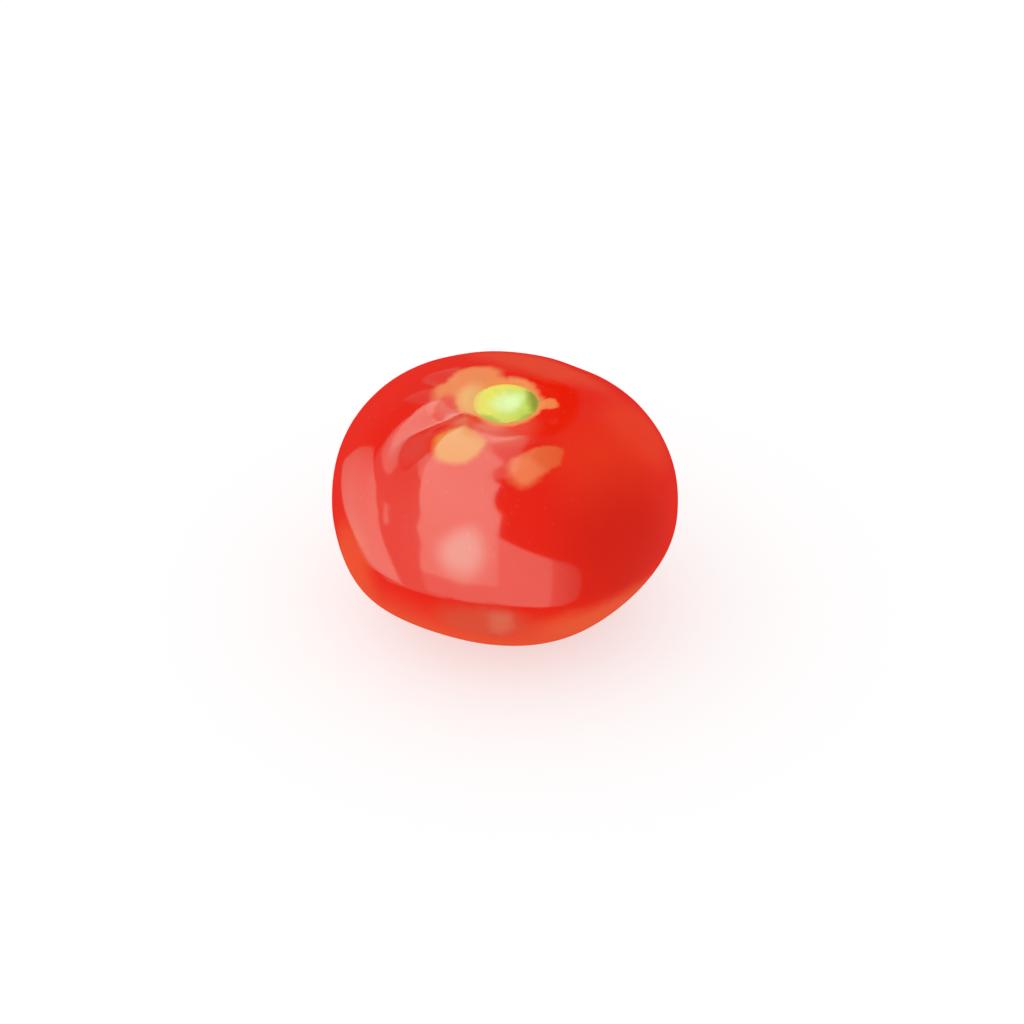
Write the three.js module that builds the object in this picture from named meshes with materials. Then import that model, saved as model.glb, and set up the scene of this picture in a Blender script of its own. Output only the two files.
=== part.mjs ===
// A ripe slicing tomato, picked clean of its stalk and sepals. The fruit grew as one piece, so it is one
// solid: a broad body with soft lobes and furrows, a basin at the stem end with a round stem scar in it, and
// a small flat spot at the blossom end that it rests on.
// Millimetres, +Z up. The origin is in the middle of the footprint, on the rest spot, and the front is at -Y.
// A turn is an angle round the fruit in degrees from the front, positive towards +X. A latitude is in degrees
// above the widest level.

import * as THREE from "three";

const { degToRad, radToDeg, smoothstep, euclideanModulo, lerp } = THREE.MathUtils;

// Driving dimensions of the body
const BODY_RADIUS = 37.5; // mean radius at the widest level, before the ovality and the furrows
const CROWN_RISE = 28.3; // widest level up to the top of the body, before the basin is sunk into it
const BASE_DROP = 26.0; // widest level down to the rest spot
const CROWN_FULLNESS = 2.35; // power of the meridian's upper half: 2 is an ellipse, and more is boxier
const BASE_FULLNESS = 1.9; // the same for its lower half
const OVALITY = { swell: 1.1, turn: 62 }; // radius added along the long axis of the plan
const LEAN = { x: 0.25, y: 1.8 }; // how far the body shifts sideways from the rest spot to the widest level

// One lobe hangs lower than the others, and the flank across from it is flatter
const SWELLS = [
  { turn: -62, latitude: -22, height: 1.5, reach: 20 },
  { turn: 60, latitude: -27, height: -1.5, reach: 24 },
];

// Rest spot, basin and stem scar
const REST_RADIUS = 12.0;
const BASIN = { depth: 3.5, radius: 10.5, tilt: 4 }; // its front rim is the lower one, by that many degrees
const SCAR = { radius: 7.0, dome: 0.7, grooveDepth: 0.6, grooveWidth: 0.9 };

// Furrows between the lobes: where each one crosses the widest level, and its depth where it is deepest
const FURROWS = [
  { turn: -130, depth: 0.2 },
  { turn: -85, depth: 0.5 },
  { turn: -37, depth: 1.3 },
  { turn: 70, depth: 0.3 },
  { turn: 112, depth: 0.4 },
  { turn: 166, depth: 0.3 },
];
const FURROW_WIDTH = 11; // degrees from the middle of a furrow to where 1/e of its depth is left
const FURROW_LATITUDE = 55; // where the furrows are deepest
const FURROW_SPAN = 34; // degrees of latitude from there to where they have run out
const FURROW_RUN = 8; // distance out from the scar and from the rest spot in which they reach that depth
const FURROW_CURL = { swing: -28, from: 8, to: 50 }; // they swing round by that turn between two latitudes

// Fineness of the facets
const TURN_STEPS = 90; // round the fruit
const BASE_STEPS = 15; // from the rest spot up to the widest level
const FLANK_STEPS = 11; // from there up to the shoulder
const CROWN_STEPS = 12; // from the shoulder in to the scar
const SCAR_STEPS = 5; // from the rim of the scar to its middle
const SHOULDER_RADIUS = 24; // where the flank hands over to the crown

// Evenly spaced values from one end to the other, both included.
function steps(from, to, count) {
  return Array.from({ length: count + 1 }, (_, i) => lerp(from, to, i / count));
}

// A dip or swell that is 1 in its middle and fades out over a reach.
function bump(distance, reach) {
  return Math.exp(-((distance / reach) ** 2));
}

// Shortest way round the fruit from one turn to another, in degrees.
function turnBetween(from, to) {
  return euclideanModulo(to - from + 180, 360) - 180;
}

// Height of the meridian off the widest level at a radius, as a share of the whole of that half.
function arch(radius, fullness) {
  return (1 - (radius / BODY_RADIUS) ** fullness) ** (1 / fullness);
}

// Radii along one half of the meridian, spaced evenly by its angle.
function archRadii(from, to, fullness, count) {
  const angleAt = (radius) => Math.acos((radius / BODY_RADIUS) ** (fullness / 2));
  const radiusAt = (angle) => BODY_RADIUS * Math.cos(angle) ** (2 / fullness);
  return steps(angleAt(from), angleAt(to), count).map(radiusAt);
}

// A point of the blossom end: the arch turned over, which has sunk to the rest spot at the spot's rim.
function basePoint(radius) {
  const share = arch(radius, BASE_FULLNESS) / arch(REST_RADIUS, BASE_FULLNESS);
  return new THREE.Vector2(radius, BASE_DROP * (1 - share));
}

// A point of the stem end: the arch of the crown, less the basin, with the scar's low dome and the groove
// round it.
function crownPoint(radius) {
  const top = CROWN_RISE * arch(radius, CROWN_FULLNESS);
  const basin = BASIN.depth * bump(radius, BASIN.radius);
  const dome = SCAR.dome * Math.max(0, 1 - (radius / SCAR.radius) ** 2);
  const groove = SCAR.grooveDepth * bump(radius - SCAR.radius, SCAR.grooveWidth);
  return new THREE.Vector2(radius, BASE_DROP + top - basin + dome - groove);
}

// Profile of the body from the middle of the rest spot up the flank and in to the middle of the scar.
function meridian() {
  const base = archRadii(REST_RADIUS, BODY_RADIUS, BASE_FULLNESS, BASE_STEPS).map(basePoint);
  const flank = archRadii(BODY_RADIUS, SHOULDER_RADIUS, CROWN_FULLNESS, FLANK_STEPS).map(crownPoint);
  const crown = steps(SHOULDER_RADIUS, SCAR.radius, CROWN_STEPS).map(crownPoint);
  const scar = steps(SCAR.radius, 0, SCAR_STEPS).map(crownPoint);
  return [new THREE.Vector2(0, 0), ...base, ...flank.slice(1), ...crown.slice(1), ...scar.slice(1)];
}

// How far the furrows sink at a turn and a latitude, where they have reached their full depth.
function furrowDepth(turn, latitude) {
  const share = Math.min(1, Math.abs(latitude - FURROW_LATITUDE) / FURROW_SPAN);
  const fade = Math.cos((share * Math.PI) / 2);
  const uncurled = turn - FURROW_CURL.swing * smoothstep(latitude, FURROW_CURL.from, FURROW_CURL.to);
  const depthOf = (furrow) => furrow.depth * bump(turnBetween(furrow.turn, uncurled), FURROW_WIDTH);
  return fade * FURROWS.reduce((sum, furrow) => sum + depthOf(furrow), 0);
}

// How far the skin stands out from the turned body at a place on it, along its normal.
function relief(place) {
  const radius = Math.hypot(place.x, place.y);
  const turn = radToDeg(Math.atan2(place.x, -place.y));
  const latitude = radToDeg(Math.atan2(place.z - BASE_DROP, radius));
  const level = Math.cos(degToRad(latitude));
  const oval = OVALITY.swell * Math.cos(degToRad(2 * (turn - OVALITY.turn))) * level;
  const aside = (swell) => Math.hypot(turnBetween(swell.turn, turn) * level, latitude - swell.latitude);
  const swollen = SWELLS.reduce((sum, swell) => sum + swell.height * bump(aside(swell), swell.reach), 0);
  const inner = latitude < 0 ? REST_RADIUS : SCAR.radius;
  return smoothstep(radius, inner, inner + FURROW_RUN) * (oval + swollen - furrowDepth(turn, latitude));
}

// The turned body brought to shape: each vertex moves along its own normal by the relief there, the basin
// tips forward, and the whole body leans. It is then set down with its footprint round the origin.
function fruitGeometry() {
  const geometry = new THREE.LatheGeometry(meridian(), TURN_STEPS).rotateX(Math.PI / 2);
  const position = geometry.getAttribute("position");
  const normal = geometry.getAttribute("normal");
  const place = new THREE.Vector3();
  const outward = new THREE.Vector3();
  for (let i = 0; i < position.count; i++) {
    place.fromBufferAttribute(position, i);
    outward.fromBufferAttribute(normal, i);
    const inBasin = place.z > BASE_DROP ? bump(Math.hypot(place.x, place.y), BASIN.radius) : 0;
    place.addScaledVector(outward, relief(place));
    place.z += place.y * Math.tan(degToRad(BASIN.tilt)) * inBasin;
    const lean = (place.z - BASE_DROP) / BASE_DROP;
    position.setXYZ(i, place.x + LEAN.x * lean, place.y + LEAN.y * lean, place.z);
  }
  geometry.computeBoundingBox();
  const middle = geometry.boundingBox.getCenter(new THREE.Vector3());
  geometry.translate(-middle.x, -middle.y, -geometry.boundingBox.min.z);
  geometry.computeVertexNormals();
  return geometry;
}

const skin = new THREE.MeshStandardMaterial({ color: 0xe02a17, roughness: 0.25, metalness: 0 });
const fruit = new THREE.Mesh(fruitGeometry(), skin);
fruit.name = "tomato_fruit";

const tomato = new THREE.Group();
tomato.name = "tomato";
tomato.add(fruit);

export default tomato;
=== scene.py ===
"""A ripe slicing tomato without its stalk: the looks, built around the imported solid.

The fruit grew as one piece, so it is one finely modelled piece here too. It has the solid's own form, and
adds what is too fine for it: the corky face of the stem scar, the puckers round it, the blossom scar, and
the slow waves of the skin.

Lengths are metres, +Z is up and the front is at -Y. A turn is an angle round the fruit in degrees from the
front, positive towards +X. A latitude is in degrees above the widest level.
"""

import logging
import math
from dataclasses import dataclass, field
from enum import Enum

import bmesh
import bpy
from mathutils import Euler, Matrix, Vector, noise


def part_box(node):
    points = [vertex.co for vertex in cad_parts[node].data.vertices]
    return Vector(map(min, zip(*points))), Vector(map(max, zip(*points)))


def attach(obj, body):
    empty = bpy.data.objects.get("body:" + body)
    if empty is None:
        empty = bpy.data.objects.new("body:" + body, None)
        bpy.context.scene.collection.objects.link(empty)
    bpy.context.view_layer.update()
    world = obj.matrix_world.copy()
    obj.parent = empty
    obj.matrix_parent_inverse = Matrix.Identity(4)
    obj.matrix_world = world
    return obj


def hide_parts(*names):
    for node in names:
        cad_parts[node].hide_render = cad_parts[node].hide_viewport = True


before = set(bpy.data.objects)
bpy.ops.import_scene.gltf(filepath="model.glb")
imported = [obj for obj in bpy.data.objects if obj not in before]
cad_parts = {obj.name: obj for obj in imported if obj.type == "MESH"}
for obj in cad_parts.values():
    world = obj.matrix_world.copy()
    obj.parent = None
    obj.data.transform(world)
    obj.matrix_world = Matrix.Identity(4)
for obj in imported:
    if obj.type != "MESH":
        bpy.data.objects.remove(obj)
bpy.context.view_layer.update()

LOG = logging.getLogger("tomato")
MM = 0.001
WELD = 0.001 * MM
DEGREES_PER_RADIAN = 57.3
NODE = "tomato_fruit"
BODY = "root"

WHITE = "#ffffff"
NO_SHINE = "#000000"
MID_GREY = (0.5, 0.5, 0.5)

# Octaves of a noise: fewer for a soft unevenness, and more where the finer variation shows
SOFT_DETAIL = 2.0
FINE_DETAIL = 3.0

Colour = tuple[float, float, float, float]
Triple = tuple[float, float, float]
Tree = bpy.types.NodeTree
Socket = bpy.types.NodeSocket


class Region(Enum):
    """Regions of the fruit's surface, each with the index of its material slot."""

    SKIN = 0
    STEM_SCAR = 1


def linear(hex_code: str) -> Colour:
    """Turns an sRGB colour into a linear one.

    Args:
        hex_code: The colour as six hex digits after a hash sign.

    Returns:
        The linear red, green and blue, and an alpha of 1.
    """
    channels = [int(hex_code[i : i + 2], 16) / 255 for i in (1, 3, 5)]
    red, green, blue = (c / 12.92 if c <= 0.04045 else ((c + 0.055) / 1.055) ** 2.4 for c in channels)
    return red, green, blue, 1.0


def smoothstep(value: float, low: float, high: float) -> float:
    """Rises smoothly from 0 at the low end to 1 at the high end.

    Args:
        value: The value to place between the ends.
        low: Where the rise starts.
        high: Where the rise ends.

    Returns:
        The share of the rise, from 0 to 1.
    """
    share = min(1.0, max(0.0, (value - low) / (high - low)))
    return share * share * (3 - 2 * share)


def bump(distance: float, reach: float) -> float:
    """A swell that is 1 in its middle and fades out over a reach."""
    return math.exp(-((distance / reach) ** 2))


def turn_between(start: float, end: float) -> float:
    """The shortest way round from one turn to another, in degrees."""
    return (end - start + 180) % 360 - 180


def direction(azimuth: float, elevation: float = 0.0) -> Vector:
    """A unit vector from the fruit.

    Args:
        azimuth: Degrees round the fruit from the front, positive towards +X.
        elevation: Degrees above the level.

    Returns:
        The vector.
    """
    level = math.cos(math.radians(elevation))
    turn = math.radians(azimuth)
    return Vector((level * math.sin(turn), -level * math.cos(turn), math.sin(math.radians(elevation))))


def add_node(tree: Tree, kind: str, inputs: dict, **settings: object) -> bpy.types.Node:
    """Adds a shader node with its settings, values and links.

    Args:
        tree: The tree that the node goes into.
        kind: The node's type.
        inputs: A value, or an output socket to link, for each input by its name or index.
        **settings: The node's own properties.

    Returns:
        The new node.
    """
    node = tree.nodes.new(kind)
    for name, value in settings.items():
        setattr(node, name, value)
    for key, value in inputs.items():
        if isinstance(value, Socket):
            tree.links.new(value, node.inputs[key])
        else:
            node.inputs[key].default_value = value
    return node


def new_material(name: str) -> tuple[bpy.types.Material, Tree]:
    """Makes a material with an empty node tree.

    Args:
        name: The material's name.

    Returns:
        The material and its tree.
    """
    material = bpy.data.materials.new(name)
    material.use_nodes = True
    material.node_tree.nodes.clear()
    return material, material.node_tree


def new_object(name: str, bm: bmesh.types.BMesh) -> bpy.types.Object:
    """Turns a bmesh into an object in the scene, and frees the bmesh.

    Args:
        name: The name of the object and of its mesh.
        bm: The shape.

    Returns:
        The object.
    """
    mesh = bpy.data.meshes.new(name)
    bm.to_mesh(mesh)
    bm.free()
    made = bpy.data.objects.new(name, mesh)
    bpy.context.scene.collection.objects.link(made)
    return made


@dataclass(frozen=True)
class Furrow:
    """A furrow between two lobes: where it crosses the widest level, and its depth where it is deepest."""

    turn: float
    depth: float


@dataclass(frozen=True)
class Swell:
    """A broad swell of the body, or a flat if its height is negative."""

    turn: float
    latitude: float
    height: float
    reach: float


@dataclass(frozen=True)
class StemScar:
    """The round scar that the stalk left: a low corky dome in a groove, with ridges round a torn middle.

    The rag paces are the rim's broad and fine waves in a radian. The ridges end at a share of the radius,
    and the torn strands run out at a multiple of their own radius.
    """

    radius: float = 7.0 * MM
    dome: float = 0.7 * MM
    groove_depth: float = 0.6 * MM
    groove_width: float = 0.9 * MM
    raggedness: float = 0.5 * MM
    rag_paces: tuple[float, float] = (2.2, 7.0)
    fine_rag_share: float = 0.5
    ridge_height: float = 0.16 * MM
    ridge_turn: float = 24.0
    ridge_length: float = 5.0 * MM
    ridge_end: float = 0.8
    strand_radius: float = 1.1 * MM
    strand_run: float = 3.0
    strand_depth: float = 0.3 * MM

    def height(self, radius: float) -> float:
        """How far the dome and the groove stand off the basin at a radius."""
        dome = self.dome * max(0.0, 1 - (radius / self.radius) ** 2)
        return dome - self.groove_depth * bump(radius - self.radius, self.groove_width)

    def rim(self, turn: float) -> float:
        """The radius of the ragged rim at a turn."""
        broad, fine = (noise.noise(direction(turn) * pace) for pace in self.rag_paces)
        return self.radius + self.raggedness * (broad + self.fine_rag_share * fine)

    def relief(self, radius: float, turn: float) -> float:
        """How far the corky ridges and the torn strands stand off the dome.

        Args:
            radius: The distance from the middle of the scar.
            turn: The turn round it.

        Returns:
            The height in metres.
        """
        around = direction(turn) * (DEGREES_PER_RADIAN / self.ridge_turn)
        ridge = noise.noise(around + Vector((0, 0, radius / self.ridge_length)))
        ring = smoothstep(radius, self.strand_radius, self.strand_run * self.strand_radius)
        inside = ring * (1 - smoothstep(radius, self.ridge_end * self.radius, self.radius))
        return self.ridge_height * ridge * inside - self.strand_depth * bump(radius, self.strand_radius)


@dataclass
class TomatoFruit:
    """The whole fruit, with its sizes as the solid has them and the finer relief on top.

    On the underside the waves of the skin die away from the wave radius in to the flat rest spot.
    """

    body_radius: float = 37.5 * MM
    crown_rise: float = 28.3 * MM
    base_drop: float = 26.0 * MM
    crown_fullness: float = 2.35
    base_fullness: float = 1.9
    oval_swell: float = 1.1 * MM
    oval_turn: float = 62.0
    lean: tuple[float, float] = (0.25 * MM, 1.8 * MM)
    swells: tuple[Swell, ...] = (
        Swell(-62, -22, 1.5 * MM, 20),
        Swell(60, -27, -1.5 * MM, 24),
    )

    rest_radius: float = 12.0 * MM
    rest_rounding: float = 0.35 * MM
    basin_depth: float = 3.5 * MM
    basin_radius: float = 10.5 * MM
    basin_tilt: float = 4.0
    scar: StemScar = field(default_factory=StemScar)

    furrows: tuple[Furrow, ...] = (
        Furrow(-130, 0.2 * MM),
        Furrow(-85, 0.5 * MM),
        Furrow(-37, 1.3 * MM),
        Furrow(70, 0.3 * MM),
        Furrow(112, 0.4 * MM),
        Furrow(166, 0.3 * MM),
    )
    furrow_width: float = 11.0
    furrow_latitude: float = 55.0
    furrow_span: float = 34.0
    furrow_run: float = 8.0 * MM
    curl_swing: float = -28.0
    curl_latitudes: tuple[float, float] = (8.0, 50.0)

    wave_height: float = 0.1 * MM
    wave_length: float = 11.0 * MM
    wave_radius: float = 18.0 * MM
    pucker_height: float = 0.05 * MM
    pucker_turn: float = 7.0
    pucker_reach: float = 4.0 * MM
    blossom_radius: float = 2.2 * MM
    blossom_depth: float = 0.5 * MM

    turn_steps: int = 300
    base_steps: int = 60
    flank_steps: int = 44
    crown_steps: int = 52
    scar_steps: int = 26
    shoulder_radius: float = 24.0 * MM

    scar_centre: Vector = field(default_factory=Vector)

    def _arch(self, radius: float, fullness: float) -> float:
        """The height of the meridian off the widest level, as a share of the whole of that half."""
        return max(0.0, 1 - (radius / self.body_radius) ** fullness) ** (1 / fullness)

    def _arch_radii(self, start: float, end: float, fullness: float, count: int) -> list[float]:
        """Radii along one half of the meridian, spaced evenly by its angle.

        Args:
            start: The first radius.
            end: The last radius.
            fullness: The power of that half.
            count: The number of steps between them.

        Returns:
            The radii, with both ends.
        """
        first, last = (math.acos((r / self.body_radius) ** (fullness / 2)) for r in (start, end))
        angles = [first + (last - first) * i / count for i in range(count + 1)]
        return [self.body_radius * max(0.0, math.cos(angle)) ** (2 / fullness) for angle in angles]

    def _base_height(self, radius: float) -> float:
        """The height of the blossom end, which rounds into the rest spot and dips in at the blossom scar.

        Args:
            radius: The distance from the axis.

        Returns:
            The height above the ground.
        """
        share = self._arch(radius, self.base_fullness) / self._arch(self.rest_radius, self.base_fullness)
        sunk = self.base_drop * (1 - share)
        settled = (sunk + math.hypot(sunk, self.rest_rounding)) / 2
        return settled + self.blossom_depth * bump(radius, self.blossom_radius)

    def _crown_height(self, radius: float) -> float:
        """The height of the stem end: the arch of the crown, less the basin, with the scar in it.

        Args:
            radius: The distance from the axis.

        Returns:
            The height above the ground.
        """
        arch = self.crown_rise * self._arch(radius, self.crown_fullness)
        basin = self.basin_depth * bump(radius, self.basin_radius)
        return self.base_drop + arch - basin + self.scar.height(radius)

    def _meridian(self) -> list[Vector]:
        """The profile from the middle of the rest spot up the flank and in to the middle of the scar.

        Returns:
            Its points, in the plane of X and Z.
        """
        base = self._arch_radii(0.0, self.body_radius, self.base_fullness, self.base_steps)
        flank = self._arch_radii(
            self.body_radius, self.shoulder_radius, self.crown_fullness, self.flank_steps,
        )
        run = self.shoulder_radius - self.scar.radius
        crown = [self.shoulder_radius - run * i / self.crown_steps for i in range(1, self.crown_steps + 1)]
        scar = [self.scar.radius * (1 - i / self.scar_steps) for i in range(1, self.scar_steps + 1)]
        lower = [Vector((radius, 0, self._base_height(radius))) for radius in base]
        upper = [Vector((radius, 0, self._crown_height(radius))) for radius in flank[1:] + crown + scar]
        return lower + upper

    def _furrow_depth(self, turn: float, latitude: float) -> float:
        """How far the furrows sink at a place, where they have reached their full depth.

        Args:
            turn: The turn of the place.
            latitude: Its latitude.

        Returns:
            The depth.
        """
        share = min(1.0, abs(latitude - self.furrow_latitude) / self.furrow_span)
        uncurled = turn - self.curl_swing * smoothstep(latitude, *self.curl_latitudes)
        depths = (f.depth * bump(turn_between(f.turn, uncurled), self.furrow_width) for f in self.furrows)
        return math.cos(share * math.pi / 2) * sum(depths)

    def _relief(self, place: Vector) -> float:
        """How far the skin stands out from the turned body.

        Args:
            place: A point of the turned body.

        Returns:
            The distance along the body's normal.
        """
        radius = place.xy.length
        turn = math.degrees(math.atan2(place.x, -place.y))
        latitude = math.degrees(math.atan2(place.z - self.base_drop, radius))
        level = math.cos(math.radians(latitude))
        formed = self.oval_swell * math.cos(math.radians(2 * (turn - self.oval_turn))) * level
        for swell in self.swells:
            aside = math.hypot(turn_between(swell.turn, turn) * level, latitude - swell.latitude)
            formed += swell.height * bump(aside, swell.reach)
        formed -= self._furrow_depth(turn, latitude)
        inner = self.rest_radius if latitude < 0 else self.scar.radius
        share = smoothstep(radius, inner, inner + self.furrow_run)
        return share * formed + self._fine_relief(place, radius, turn)

    def _fine_relief(self, place: Vector, radius: float, turn: float) -> float:
        """The relief that only this piece has: skin waves, puckers round the scar, and the scar's own face.

        Args:
            place: A point of the turned body.
            radius: Its distance from the axis.
            turn: Its turn.

        Returns:
            The distance along the body's normal.
        """
        off_scar = radius - self.scar.radius
        above = place.z > self.base_drop
        if above and off_scar < 0:
            return self.scar.relief(radius, turn)
        wave = self.wave_height * noise.noise(place / self.wave_length)
        if not above:
            return wave * smoothstep(radius, self.rest_radius, self.wave_radius)
        around = direction(turn) * (DEGREES_PER_RADIAN / self.pucker_turn)
        fold = noise.noise(around + place / self.wave_length)
        pucker = self.pucker_height * fold * bump(off_scar, self.pucker_reach)
        return (wave + pucker) * smoothstep(off_scar, 0.0, self.scar.groove_width)

    def _shape(self, bm: bmesh.types.BMesh) -> None:
        """Brings the turned body to shape: relief along the normals, the tipped basin, and the lean.

        Args:
            bm: The turned body.
        """
        bm.normal_update()
        moves = [vert.normal * self._relief(vert.co) for vert in bm.verts]
        for vert, move in zip(bm.verts, moves):
            in_basin = bump(vert.co.xy.length, self.basin_radius) if vert.co.z > self.base_drop else 0.0
            vert.co += move
            vert.co.z += vert.co.y * math.tan(math.radians(self.basin_tilt)) * in_basin
            vert.co.xy += Vector(self.lean) * (vert.co.z - self.base_drop) / self.base_drop

    def _set_down(self, bm: bmesh.types.BMesh) -> None:
        """Moves the fruit so that its box stands where the solid's box does.

        Args:
            bm: The shaped fruit.
        """
        low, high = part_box(NODE)
        places = [vert.co for vert in bm.verts]
        own_low, own_high = (Vector([end(p[i] for p in places) for i in range(3)]) for end in (min, max))
        shift = (Vector(low) + Vector(high) - own_low - own_high) / 2
        shift.z = low[2] - own_low.z
        bmesh.ops.translate(bm, verts=bm.verts, vec=shift)

    def build(self) -> bpy.types.Object:
        """Turns the meridian into the fruit, shapes it and sets it down where the solid stands.

        Returns:
            The fruit's object, with each face's region as its material index.
        """
        bm = bmesh.new()
        profile = [bm.verts.new(point) for point in self._meridian()]
        chain = [bm.edges.new(pair) for pair in zip(profile, profile[1:])]
        bmesh.ops.spin(
            bm, geom=profile + chain, axis=(0, 0, 1), cent=(0, 0, 0), angle=math.tau,
            steps=self.turn_steps, use_merge=True,
        )
        bmesh.ops.remove_doubles(bm, verts=bm.verts, dist=WELD)
        bmesh.ops.recalc_face_normals(bm, faces=bm.faces)
        for face in bm.faces:
            face.smooth = True
            middle = face.calc_center_median()
            rim = self.scar.rim(math.degrees(math.atan2(middle.x, -middle.y)))
            in_scar = middle.z > self.base_drop and middle.xy.length < rim
            face.material_index = (Region.STEM_SCAR if in_scar else Region.SKIN).value
        pole = min((v for v in bm.verts if v.co.z > self.base_drop), key=lambda v: v.co.xy.length)
        self._shape(bm)
        self._set_down(bm)
        self.scar_centre = pole.co.copy()
        return new_object("tomato_body", bm)

    def dress(self, piece: bpy.types.Object, finishes: dict[Region, bpy.types.Material]) -> None:
        """Gives each region its material, and ties the piece to the frame.

        Args:
            piece: The fruit's object.
            finishes: The material of each region.
        """
        for region in Region:
            piece.data.materials.append(finishes[region])
        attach(piece, BODY)
        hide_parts(NODE)


@dataclass(frozen=True)
class Blotch:
    """A blotch of another colour, or of less shine: an ellipsoid with a soft edge, in millimetres."""

    centre: Triple
    radii: Triple
    turn: float
    colour: str
    share: float = 1.0
    softness: float = 0.2

    def paint(self, tree: Tree, place: Socket, middle: Vector, under: Socket) -> Socket:
        """Lays the blotch over a colour.

        Args:
            tree: The material's tree.
            place: The place on the fruit.
            middle: The point that the blotch's centre is measured from.
            under: The colour below.

        Returns:
            The colour with the blotch on it.
        """
        own = add_node(
            tree, "ShaderNodeMapping",
            {
                "Vector": place,
                "Location": middle + Vector(self.centre) * MM,
                "Rotation": Euler((0, 0, math.radians(self.turn))),
                "Scale": Vector(self.radii) * MM,
            },
            vector_type="TEXTURE",
        )
        reach = add_node(tree, "ShaderNodeVectorMath", {0: own.outputs["Vector"]}, operation="LENGTH")
        cover = add_node(
            tree, "ShaderNodeMapRange",
            {
                "Value": reach.outputs["Value"],
                "From Min": 1 - self.softness,
                "From Max": 1 + self.softness,
                "To Min": self.share,
                "To Max": 0.0,
            },
            interpolation_type="SMOOTHSTEP",
        )
        mixed = {0: cover.outputs["Result"], 6: under, 7: linear(self.colour)}
        return add_node(tree, "ShaderNodeMix", mixed, data_type="RGBA").outputs[2]


def wobbled(tree: Tree, place: Socket, size: float, push: float) -> Socket:
    """Pushes a place about, so that what is painted there gets an uneven edge.

    Args:
        tree: The material's tree.
        place: The place.
        size: The length of the wobbles.
        push: How far the place moves at the most.

    Returns:
        The pushed place.
    """
    cloud = add_node(tree, "ShaderNodeTexNoise", {"Vector": place, "Scale": 1 / size, "Detail": SOFT_DETAIL})
    level = add_node(
        tree, "ShaderNodeVectorMath", {0: cloud.outputs["Color"], 1: MID_GREY}, operation="SUBTRACT",
    )
    sized = add_node(
        tree, "ShaderNodeVectorMath", {0: level.outputs["Vector"], "Scale": 2 * push}, operation="SCALE",
    )
    moved = add_node(tree, "ShaderNodeVectorMath", {0: place, 1: sized.outputs["Vector"]}, operation="ADD")
    return moved.outputs["Vector"]


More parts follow.
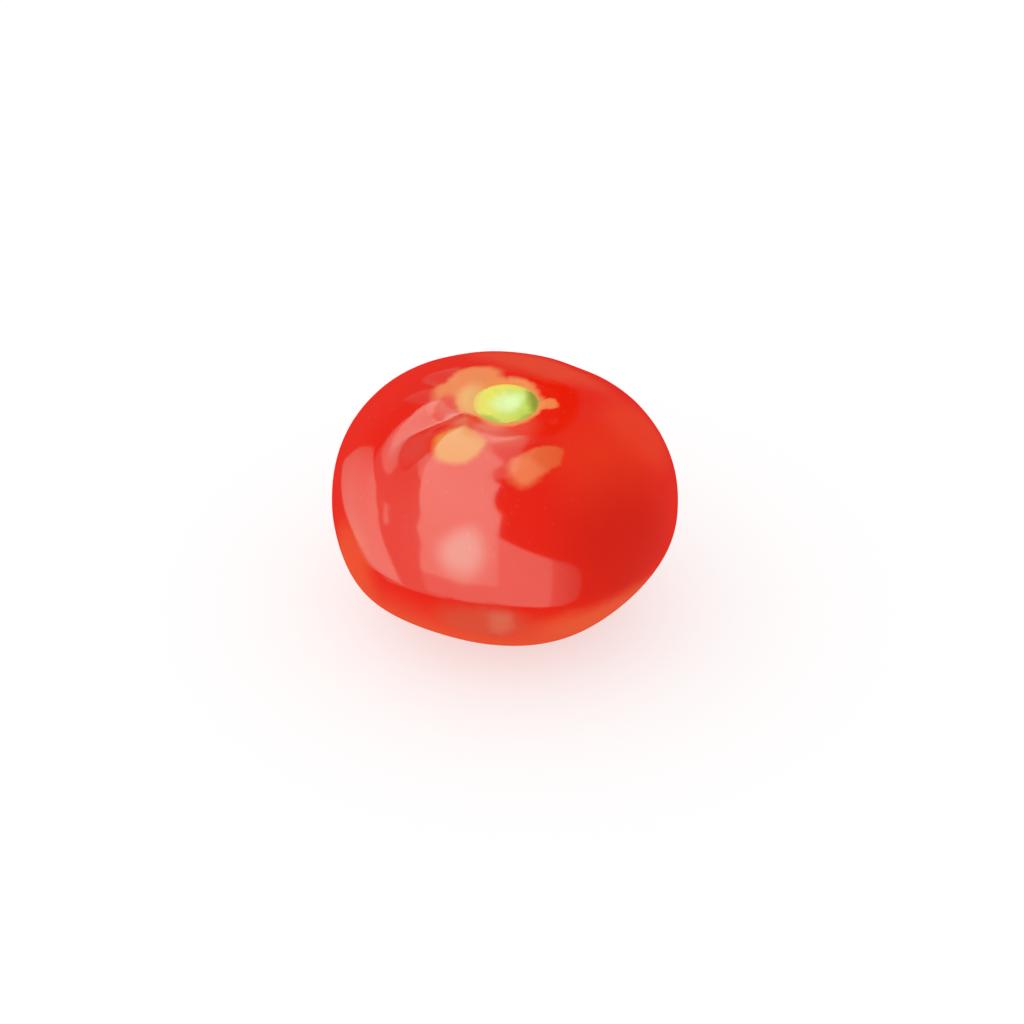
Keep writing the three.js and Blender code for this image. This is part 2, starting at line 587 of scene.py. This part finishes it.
@dataclass(frozen=True)
class RipeTomatoSkin:
    """Ripe tomato skin: a thin clear cuticle over red flesh.

    The cuticle is smooth and waxy, so it mirrors the lights with fairly sharp edges. It mirrors less where
    it is seen at a slant, so that the fruit's edge stays red, and round the stem scar, where the skin is
    corky and dull. The flesh below lets light in a little way, so the red is deep and even, with orange
    blotches where it ripened last. Pink blotches beside the scar, on the left shoulder and low on the front
    are painted reflection, the lighter edge of one orange blotch is partly painted highlight, and a darker
    blotch on the right of the front is painted shade.

    The fleck radii are shares of the flecks' spacing. The edge slants run from 0, face on, to 1, edge on.
    """

    red: str = "#ec1d04"
    deep_red: str = "#e31903"
    wash_size: float = 20 * MM
    blossom_end: str = "#ec5528"
    blossom_end_share: float = 0.9
    blossom_end_heights: tuple[float, float] = (8 * MM, 26 * MM)
    fleck: str = "#f0793c"
    fleck_share: float = 0.2
    fleck_spacing: float = 2.4 * MM
    fleck_radii: tuple[float, float] = (0.04, 0.14)
    fleck_heights: tuple[float, float] = (12 * MM, 50 * MM)
    fleck_share_at_base: float = 0.2
    wobble_size: float = 5 * MM
    wobble: float = 1.5 * MM
    cell_size: float = 0.5 * MM
    cell_height: float = 0.05 * MM
    cell_strength: float = 0.12
    roughness: float = 0.2
    ior: float = 1.45
    flesh_gloss: float = 0.0
    coat: float = 1.0
    coat_at_edge: float = 0.12
    edge_slants: tuple[float, float] = (0.5, 0.9)
    coat_roughness: float = 0.1
    subsurface: float = 0.12
    subsurface_depth: float = 3 * MM
    subsurface_tint: Triple = (1.0, 0.25, 0.12)
    corky: tuple[Blotch, ...] = (
        Blotch((-8.3, 5.7, 0), (9.0, 4.6, 8), 40, NO_SHINE, 0.9),
        Blotch((-7.2, -1.2, 0), (3.4, 4.4, 8), 0, NO_SHINE, 0.9),
        Blotch((0.2, -0.4, 0), (8.0, 9.2, 8), 0, NO_SHINE, 0.9),
        Blotch((6.0, -2.6, 0), (10.2, 11.8, 8), 0, NO_SHINE, 0.9, 0.1),
    )
    halo_and_painted_reflection: tuple[Blotch, ...] = (
        # Painted reflection: pink below the scar and at the upper edge of the orange patch
        Blotch((0.6, -10.6, 0), (5.4, 5.0, 8), 0, "#ea4e3a", 0.9, 0.7),
        Blotch((-3.6, -10.0, 0), (3.0, 2.2, 8), 0, "#ee7c68", 0.8, 0.8),
        Blotch((-9.4, -8.0, 0), (3.0, 1.6, 8), 0, "#e66c44", 0.8, 0.8),
        Blotch((-8.3, 5.7, 0), (9.0, 4.4, 8), 40, "#f08c5a"),
        # A red notch in the halo, lightened to pink as painted reflection, with painted reflection in pink
        # beside it
        Blotch((-13.6, -3.2, 0), (3.4, 3.2, 8), 0, "#ec4030"),
        Blotch((-12.0, -2.2, 0), (2.6, 3.4, 8), 0, "#ea6050", 0.9, 0.5),
        Blotch((-7.2, -1.2, 0), (3.4, 4.4, 8), 0, "#f29c68"),
        Blotch((8.8, -1.6, 0), (2.8, 2.0, 8), -20, "#f0844a"),
        Blotch((0.2, -0.4, 0), (8.0, 9.2, 8), 0, "#f29458", 1.0, 0.1),
        Blotch((-6.6, 0.6, 0), (3.4, 5.0, 8), 0, "#f2c07c", 0.8, 0.6),
    )
    patches_and_painted_light: tuple[Blotch, ...] = (
        # Painted reflection: a pinkish tint on the left shoulder, at the upper end of the furrow
        Blotch((-19.4, -11.2, 48.2), (4.6, 4.6, 4.6), 0, "#e03e31", 0.95, 0.5),
        Blotch((-9.8, -13.4, 50.8), (5.3, 5.3, 6), 0, "#ec8a36"),
        Blotch((6.4, -19.4, 50.0), (4.8, 3.2, 6), 38, "#ec7040"),
        Blotch((9.4, -17.8, 50.7), (3.6, 2.6, 6), 25, "#e86836"),
        # Orange patch whose lighter lower-left part is also a painted highlight
        Blotch((4.2, -21.3, 49.3), (3.5, 3.2, 6), 25, "#f27c4c", 1.0, 0.4),
        Blotch((29.3, -2.0, 46.6), (9.0, 9.0, 9), 0, "#f0421a", 0.6, 0.5),
        Blotch((20.8, -16.0, 45.8), (11.0, 11.0, 11), 0, "#ea3810", 0.6, 0.6),
        # Painted shade: the right side of the front darkened
        Blotch((24.0, -24.0, 33.0), (15.0, 13.0, 13), 0, "#d31a05", 0.9, 0.6),
        Blotch((21.0, -30.0, 16.5), (18.0, 6.0, 5.5), 34, "#ec5a2e", 0.8, 0.5),
        Blotch((-33.0, -17.5, 22.0), (6.0, 8.0, 9), 0, "#ec5228", 0.8, 0.5),
        # Painted reflection: a muted pink patch low on the front, with a brighter pink spot in it
        Blotch((-5.0, -36.0, 20.0), (10.0, 5.0, 5), 0, "#d85034", 0.8, 0.5),
        Blotch((-1.0, -36.5, 20.3), (2.5, 4.0, 3.5), 0, "#dd6a4e", 0.8, 0.6),
        Blotch((8.0, 16.0, 51.5), (16.0, 5.0, 4), -25, "#e8482a", 0.8, 0.6),
    )

    def material(self, scar_centre: Vector) -> bpy.types.Material:
        """Builds the skin's material.

        Args:
            scar_centre: The middle of the stem scar, which the halo and the painted reflection lie round.

        Returns:
            The material.
        """
        material, tree = new_material("ripe_tomato_skin_waxy_cuticle")
        place = add_node(tree, "ShaderNodeTexCoord", {}).outputs["Object"]
        colour = self._flecks(tree, place, self._wash(tree, place))
        uneven = wobbled(tree, place, self.wobble_size, self.wobble)
        for blotch in self.patches_and_painted_light:
            colour = blotch.paint(tree, uneven, Vector(), colour)
        for blotch in self.halo_and_painted_reflection:
            colour = blotch.paint(tree, uneven, scar_centre, colour)
        shine = self._shine(tree)
        for blotch in self.corky:
            shine = blotch.paint(tree, uneven, scar_centre, shine)
        shader = add_node(
            tree, "ShaderNodeBsdfPrincipled",
            {
                "Base Color": colour,
                "Roughness": self.roughness,
                "IOR": self.ior,
                "Specular IOR Level": self.flesh_gloss,
                "Subsurface Weight": self.subsurface,
                "Subsurface Radius": self.subsurface_tint,
                "Subsurface Scale": self.subsurface_depth,
                "Coat Weight": shine,
                "Coat Roughness": self.coat_roughness,
                "Normal": self._grain(tree, place),
            },
        )
        add_node(tree, "ShaderNodeOutputMaterial", {"Surface": shader.outputs["BSDF"]})
        return material

    def _shine(self, tree: Tree) -> Socket:
        """The cuticle's gloss, which weakens as it is seen at a greater slant.

        Args:
            tree: The material's tree.

        Returns:
            The weight of the cuticle.
        """
        start, end = self.edge_slants
        slant = add_node(tree, "ShaderNodeLayerWeight", {})
        return add_node(
            tree, "ShaderNodeMapRange",
            {
                "Value": slant.outputs["Facing"],
                "From Min": start,
                "From Max": end,
                "To Min": self.coat,
                "To Max": self.coat_at_edge,
            },
        ).outputs["Result"]

    def _grain(self, tree: Tree, place: Socket) -> Socket:
        """The faint unevenness that the skin's cells give it.

        Args:
            tree: The material's tree.
            place: The place on the fruit.

        Returns:
            The normal.
        """
        sizes = {"Vector": place, "Scale": 1 / self.cell_size, "Detail": SOFT_DETAIL}
        cells = add_node(tree, "ShaderNodeTexNoise", sizes)
        return add_node(
            tree, "ShaderNodeBump",
            {
                "Height": cells.outputs["Fac"],
                "Strength": self.cell_strength,
                "Distance": self.cell_height,
            },
        ).outputs["Normal"]

    def _wash(self, tree: Tree, place: Socket) -> Socket:
        """The red itself, a little uneven as flesh is, and warmer towards the blossom end.

        Args:
            tree: The material's tree.
            place: The place on the fruit.

        Returns:
            The colour.
        """
        sizes = {"Vector": place, "Scale": 1 / self.wash_size, "Detail": FINE_DETAIL}
        cloud = add_node(tree, "ShaderNodeTexNoise", sizes)
        shades = {0: cloud.outputs["Fac"], 6: linear(self.deep_red), 7: linear(self.red)}
        red = add_node(tree, "ShaderNodeMix", shades, data_type="RGBA")
        height = add_node(tree, "ShaderNodeSeparateXYZ", {"Vector": place})
        bottom, top = self.blossom_end_heights
        low = add_node(
            tree, "ShaderNodeMapRange",
            {
                "Value": height.outputs["Z"],
                "From Min": bottom,
                "From Max": top,
                "To Min": self.blossom_end_share,
                "To Max": 0.0,
            },
            interpolation_type="SMOOTHSTEP",
        )
        warmed = {0: low.outputs["Result"], 6: red.outputs[2], 7: linear(self.blossom_end)}
        return add_node(tree, "ShaderNodeMix", warmed, data_type="RGBA").outputs[2]

    def _flecks(self, tree: Tree, place: Socket, under: Socket) -> Socket:
        """Small pale flecks in the skin, which fade towards the blossom end.

        Args:
            tree: The material's tree.
            place: The place on the fruit.
            under: The colour below.

        Returns:
            The colour with the flecks on it.
        """
        cells = add_node(tree, "ShaderNodeTexVoronoi", {"Vector": place, "Scale": 1 / self.fleck_spacing})
        inner, outer = self.fleck_radii
        dot = add_node(
            tree, "ShaderNodeMapRange",
            {
                "Value": cells.outputs["Distance"],
                "From Min": inner,
                "From Max": outer,
                "To Min": self.fleck_share,
                "To Max": 0.0,
            },
        )
        height = add_node(tree, "ShaderNodeSeparateXYZ", {"Vector": place})
        bottom, top = self.fleck_heights
        high = add_node(
            tree, "ShaderNodeMapRange",
            {
                "Value": height.outputs["Z"],
                "From Min": bottom,
                "From Max": top,
                "To Min": self.fleck_share_at_base,
                "To Max": 1.0,
            },
        )
        shares = {0: dot.outputs["Result"], 1: high.outputs["Result"]}
        share = add_node(tree, "ShaderNodeMath", shares, operation="MULTIPLY")
        laid = {0: share.outputs["Value"], 6: under, 7: linear(self.fleck)}
        return add_node(tree, "ShaderNodeMix", laid, data_type="RGBA").outputs[2]


@dataclass(frozen=True)
class CorkyScar:
    """The stem scar's corky face: dry torn tissue, so it is matt, with lime and yellow tints.

    Its pale middle is a painted highlight, and the olive along its right and lower edges is painted shade.
    """

    lime: str = "#d2e668"
    dark_lime: str = "#c6da58"
    roughness: float = 0.6
    gloss: float = 0.2
    fibre_size: float = 0.7 * MM
    fibre_height: float = 0.15 * MM
    fibre_strength: float = 0.4
    wobble_size: float = 1.6 * MM
    wobble: float = 0.5 * MM
    stains_and_painted_light: tuple[Blotch, ...] = (
        Blotch((-4.6, 0.4, 0), (4.4, 6.4, 8), 0, "#e8e65c", 1.0, 0.6),
        Blotch((0.0, 6.4, 0), (6.0, 2.0, 8), 0, "#f6e058", 0.8, 0.6),
        Blotch((1.2, -6.3, 0), (5.0, 1.3, 8), 0, "#d6e060", 0.8, 0.6),
        # Painted highlight: the pale middle of the dome
        Blotch((0.7, -0.2, 0), (3.6, 3.0, 8), 20, "#e2f8aa", 1.0, 0.6),
        # Painted shade: darker lime and olive along the right and lower edges of the dome
        Blotch((4.6, -2.2, 0), (1.8, 4.6, 8), -20, "#c2d84c", 0.8, 0.6),
        Blotch((6.5, 0.8, 0), (1.8, 4.6, 8), 6, "#8a9a20", 0.9, 0.6),
        Blotch((4.7, -4.9, 0), (2.8, 0.6, 8), 40, "#9aa038", 0.5, 0.8),
        Blotch((-3.4, -5.6, 0), (3.0, 0.6, 8), -32, "#8f9c3c", 0.55, 0.8),
        Blotch((-7.4, 0.6, 0), (2.2, 5.6, 8), 0, "#f2c072", 0.5, 0.7),
    )

    def material(self, scar_centre: Vector) -> bpy.types.Material:
        """Builds the scar's material.

        Args:
            scar_centre: The middle of the scar.

        Returns:
            The material.
        """
        material, tree = new_material("corky_stem_scar_torn_tissue")
        place = add_node(tree, "ShaderNodeTexCoord", {}).outputs["Object"]
        sizes = {"Vector": place, "Scale": 1 / self.fibre_size, "Detail": FINE_DETAIL}
        fibres = add_node(tree, "ShaderNodeTexNoise", sizes)
        shades = {0: fibres.outputs["Fac"], 6: linear(self.dark_lime), 7: linear(self.lime)}
        colour = add_node(tree, "ShaderNodeMix", shades, data_type="RGBA").outputs[2]
        uneven = wobbled(tree, place, self.wobble_size, self.wobble)
        for scar_mark in self.stains_and_painted_light:
            colour = scar_mark.paint(tree, uneven, scar_centre, colour)
        grain = add_node(
            tree, "ShaderNodeBump",
            {
                "Height": fibres.outputs["Fac"],
                "Strength": self.fibre_strength,
                "Distance": self.fibre_height,
            },
        )
        shader = add_node(
            tree, "ShaderNodeBsdfPrincipled",
            {
                "Base Color": colour,
                "Roughness": self.roughness,
                "Specular IOR Level": self.gloss,
                "Normal": grain.outputs["Normal"],
            },
        )
        add_node(tree, "ShaderNodeOutputMaterial", {"Surface": shader.outputs["BSDF"]})
        return material


@dataclass(frozen=True)
class LightPane:
    """A lit pane of the studio, on a sphere round the fruit, which shows only where the skin mirrors it.

    The corners are directions from the fruit, as azimuth and elevation: low left, low right, high right and
    high left, as someone at the fruit sees them. The radiance is given at the left and the right edge. The
    fade is the share of the pane in which its light falls off towards the rim, and the rounding is the share
    of its width by which the corners on the right are drawn in, more squarely the higher its power.
    """

    name: str
    low_left: tuple[float, float]
    low_right: tuple[float, float]
    high_right: tuple[float, float]
    high_left: tuple[float, float]
    radiance: tuple[float, float]
    colour: str = "#c6ffee"
    fade: float = 0.0
    rounding: float = 0.0
    rounding_power: int = 4
    distance: float = 1.2
    cuts: int = 24

    def build(self, centre: Vector) -> bpy.types.Object:
        """Makes the pane: a grid bent onto the sphere.

        Args:
            centre: The middle of the sphere.

        Returns:
            The pane's object.
        """
        bm = bmesh.new()
        bm.loops.layers.uv.verify()
        bmesh.ops.create_grid(bm, x_segments=self.cuts, y_segments=self.cuts, size=1, calc_uvs=True)
        corners = (self.low_left, self.low_right, self.high_left, self.high_right)
        low_left, low_right, high_left, high_right = (Vector(corner) for corner in corners)
        for vert in bm.verts:
            across, up = (vert.co.x + 1) / 2, (vert.co.y + 1) / 2
            across *= 1 - self.rounding * vert.co.y**self.rounding_power
            toward = low_left.lerp(low_right, across).lerp(high_left.lerp(high_right, across), up)
            vert.co = centre + self.distance * direction(*toward)
        pane = new_object(self.name, bm)
        pane.data.materials.append(self._material())
        pane.visible_camera = False
        pane.visible_diffuse = False
        pane.visible_shadow = False
        return pane

    def _material(self) -> bpy.types.Material:
        """A glow that changes evenly from side to side, and falls off to clear where the pane has a fade.

        Returns:
            The material.
        """
        material, tree = new_material(self.name)
        spot = add_node(tree, "ShaderNodeTexCoord", {}).outputs["UV"]
        across = add_node(tree, "ShaderNodeSeparateXYZ", {"Vector": spot})
        left, right = self.radiance
        strength = add_node(
            tree, "ShaderNodeMapRange", {"Value": across.outputs["X"], "To Min": left, "To Max": right},
        )
        glow = {"Color": linear(self.colour), "Strength": strength.outputs["Result"]}
        light = add_node(tree, "ShaderNodeEmission", glow).outputs["Emission"]
        if self.fade:
            half = 0.5
            off = add_node(tree, "ShaderNodeVectorMath", {0: spot, 1: (half, half, 0)}, operation="DISTANCE")
            share = add_node(
                tree, "ShaderNodeMapRange",
                {"Value": off.outputs["Value"], "From Min": half, "From Max": half * (1 - self.fade)},
                interpolation_type="SMOOTHSTEP",
            )
            clear = add_node(tree, "ShaderNodeBsdfTransparent", {})
            shaders = {0: share.outputs["Result"], 1: clear.outputs["BSDF"], 2: light}
            light = add_node(tree, "ShaderNodeMixShader", shaders).outputs["Shader"]
        add_node(tree, "ShaderNodeOutputMaterial", {"Surface": light})
        return material


@dataclass
class Studio:
    """The pale floor, the soft light, the lit panes that the skin mirrors, and the camera."""

    panes: tuple[LightPane, ...] = (
        LightPane("pane_front_low", (-53, -17), (-9, -17), (-9, 8), (-55, 8), (3.8, 3.8)),
        LightPane("pane_front_rise", (-55, 8), (-9, 8), (-9, 30), (-66, 29), (4.1, 4.1)),
        LightPane("pane_front_mid", (-66, 29), (-9, 30), (-10, 52), (-90, 44), (4.3, 4.3)),
        LightPane("pane_front_high", (-90, 44), (-10, 52), (-42, 79), (-122, 57), (4.4, 4.4)),
        LightPane(
            "pane_spot", (-51, -24), (-11, -24), (-11, 48), (-51, 48), (8.8, 8.8),
            colour="#90ffee", fade=0.7, distance=1.1,
        ),
        LightPane("pane_strip", (-51, -29), (-9, -29), (-9, -17), (-53, -17), (2.2, 2.6)),
        LightPane("pane_foot", (-12, -29), (23, -37), (22, 7), (-10, 32), (2.6, 2.5), distance=1.25),
        LightPane("pane_toe", (23, -37), (45, -41), (41, -5), (22, 7), (1.55, 0.65), rounding=0.4),
        LightPane("pane_top", (-176, 43), (-122, 57), (-42, 79), (-150, 79), (4.1, 4.2)),
        LightPane("pane_zone", (-176, 42), (-164, 42), (-60, 87), (-180, 87), (1.6, 1.7), distance=1.3),
        LightPane("pane_brow", (-114, 40), (-90, 44), (-122, 57), (-132, 56), (1.6, 2.9)),
        LightPane("pane_back", (-176, 18), (-153, 21), (-153, 44), (-176, 42), (0.65, 0.45), distance=1.35),
        LightPane("pane_left", (-139, -17), (-68, -33), (-97, 25), (-120, 26), (0.9, 3.2)),
        LightPane("pane_glint", (-82, 3), (-79, 4), (-86, 25), (-88, 24), (3.1, 3.1), distance=1.25),
        LightPane("pane_gap", (-80, -37), (-40, -32), (-60, 44), (-118, 42), (0.8, 1.6), distance=1.3),
        LightPane("pane_low", (-26, -66), (6, -66), (6, -30), (-26, -30), (0.5, 0.5), fade=0.9),
    )
    floor_colour: str = "#b4b4b4"
    floor_roughness: float = 0.9
    floor_glow: float = 0.56
    floor_half: float = 4.0
    fill_left: float = 1.165
    fill_right: float = 0.84
    mirrored_pink: str = "#cb716e"
    camera_elevation: float = 36.0
    camera_distance: float = 0.7
    image_size: int = 1024
    pixels_per_metre: float = 4529.0
    fruit_middle_height: float = 26.0 * MM
    fruit_middle_pixel: tuple[float, float] = (504.6, 502.4)
    sensor: float = 36.0

    def build(self) -> None:
        """Makes the floor, the world, the panes and the camera, and keeps the colours as they are."""
        self._floor()
        self._world()
        centre = Vector((0, 0, self.fruit_middle_height))
        for pane in self.panes:
            LOG.info("light pane %s", pane.build(centre).name)
        self._camera(centre)
        bpy.context.scene.view_settings.view_transform = "Standard"

    def _floor(self) -> None:
        """A matt board lit from below, which the skin doesn't mirror, so its red is clear to the ground."""
        bm = bmesh.new()
        bmesh.ops.create_grid(bm, x_segments=1, y_segments=1, size=self.floor_half)
        floor = new_object("floor", bm)
        material, tree = new_material("matt_white_light_board")
        shader = add_node(
            tree, "ShaderNodeBsdfPrincipled",
            {
                "Base Color": linear(self.floor_colour),
                "Roughness": self.floor_roughness,
                "Specular IOR Level": 0.0,
                "Emission Color": linear(WHITE),
                "Emission Strength": self.floor_glow,
            },
        )
        add_node(tree, "ShaderNodeOutputMaterial", {"Surface": shader.outputs["BSDF"]})
        floor.data.materials.append(material)
        floor.visible_glossy = False

    def _world(self) -> None:
        """White light from all round, a little stronger from the left.

        The skin mirrors a dusty pink in its place, so that its edges keep their colour.
        """
        world = bpy.data.worlds.new("soft_studio")
        world.use_nodes = True
        world.cycles.sampling_method = "NONE"
        tree = world.node_tree
        tree.nodes.clear()
        way = add_node(tree, "ShaderNodeTexCoord", {}).outputs["Generated"]
        side = add_node(tree, "ShaderNodeSeparateXYZ", {"Vector": way})
        strength = add_node(
            tree, "ShaderNodeMapRange",
            {
                "Value": side.outputs["X"],
                "From Min": -1.0,
                "From Max": 1.0,
                "To Min": self.fill_left,
                "To Max": self.fill_right,
            },
        )
        white = {"Color": linear(WHITE), "Strength": strength.outputs["Result"]}
        fill = add_node(tree, "ShaderNodeBackground", white).outputs["Background"]
        pink = {"Color": linear(self.mirrored_pink)}
        mirrored = add_node(tree, "ShaderNodeBackground", pink).outputs["Background"]
        path = add_node(tree, "ShaderNodeLightPath", {})
        shaders = {0: path.outputs["Is Glossy Ray"], 1: fill, 2: mirrored}
        light = add_node(tree, "ShaderNodeMixShader", shaders)
        add_node(tree, "ShaderNodeOutputWorld", {"Surface": light.outputs["Shader"]})
        bpy.context.scene.world = world

    def _camera(self, centre: Vector) -> None:
        """A camera in front, above the level, with the fruit where the picture has it.

        Args:
            centre: The middle of the fruit.
        """
        data = bpy.data.cameras.new("camera")
        data.sensor_width = self.sensor
        data.lens = self.pixels_per_metre * self.camera_distance * self.sensor / self.image_size
        camera = bpy.data.objects.new("camera", data)
        back = direction(0.0, self.camera_elevation)
        camera.rotation_euler = back.to_track_quat("Z", "Y").to_euler()
        right, up = (camera.rotation_euler.to_matrix() @ Vector(axis) for axis in ((1, 0, 0), (0, 1, 0)))
        half = self.image_size / 2
        off_x, off_y = ((half - pixel) / self.pixels_per_metre for pixel in self.fruit_middle_pixel)
        camera.location = centre + right * off_x - up * off_y + back * self.camera_distance
        bpy.context.scene.collection.objects.link(camera)
        bpy.context.scene.camera = camera


def main() -> None:
    """Builds the fruit and the studio in order."""
    logging.basicConfig(level=logging.INFO, format="%(name)s: %(message)s")
    fruit = TomatoFruit()
    piece = fruit.build()
    finishes = {
        Region.SKIN: RipeTomatoSkin().material(fruit.scar_centre),
        Region.STEM_SCAR: CorkyScar().material(fruit.scar_centre),
    }
    fruit.dress(piece, finishes)
    LOG.info("piece %s: %d faces", piece.name, len(piece.data.polygons))
    Studio().build()


if __name__ == "__main__":
    main()
